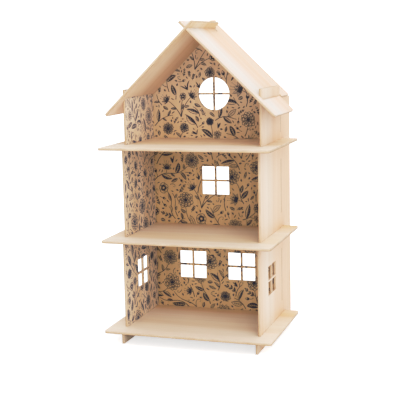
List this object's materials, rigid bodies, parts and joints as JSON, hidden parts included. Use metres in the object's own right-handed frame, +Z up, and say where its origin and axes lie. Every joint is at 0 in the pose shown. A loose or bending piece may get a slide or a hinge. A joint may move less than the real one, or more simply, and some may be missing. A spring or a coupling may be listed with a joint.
{
  "type": "dollhouse",
  "caption": "Open-fronted slot-together plywood dollhouse with a ground room, a middle room and an attic, crossed-bar windows and a steep lift-off gable roof.",
  "frame": {"origin": "under the middle of the footprint, at the height that the feet stand on", "axes": "+Z up, the open front faces -Y, +X is the viewer's right from the front"},
  "size_m": [0.2928, 0.247, 0.538],
  "materials": {
    "plain_plywood": "bare sanded birch plywood",
    "printed_plywood": "bare birch plywood, inner face printed with a blue plant pattern"
  },
  "bodies": {
    "walls": {"left_wall": "printed_plywood", "right_wall": "printed_plywood", "back_wall": "printed_plywood"},
    "ground_floor": {"ground_floor": "plain_plywood"},
    "middle_floor": {"middle_floor": "plain_plywood"},
    "attic_floor": {"attic_floor": "plain_plywood"},
    "roof": {"left_roof": "plain_plywood", "right_roof": "plain_plywood"}
  },
  "joints": [
    {"name": "ground_floor_slide", "type": "slide", "parent": "walls", "child": "ground_floor", "axis": [0, -1, 0], "range_m": [0, 0.07]},
    {"name": "middle_floor_slide", "type": "slide", "parent": "walls", "child": "middle_floor", "axis": [0, -1, 0], "range_m": [0, 0.07]},
    {"name": "attic_floor_slide", "type": "slide", "parent": "walls", "child": "attic_floor", "axis": [0, -1, 0], "range_m": [0, 0.07]},
    {"name": "roof_lift", "type": "slide", "parent": "walls", "child": "roof", "axis": [0, 0, 1], "range_m": [0, 0.02]}
  ]
}
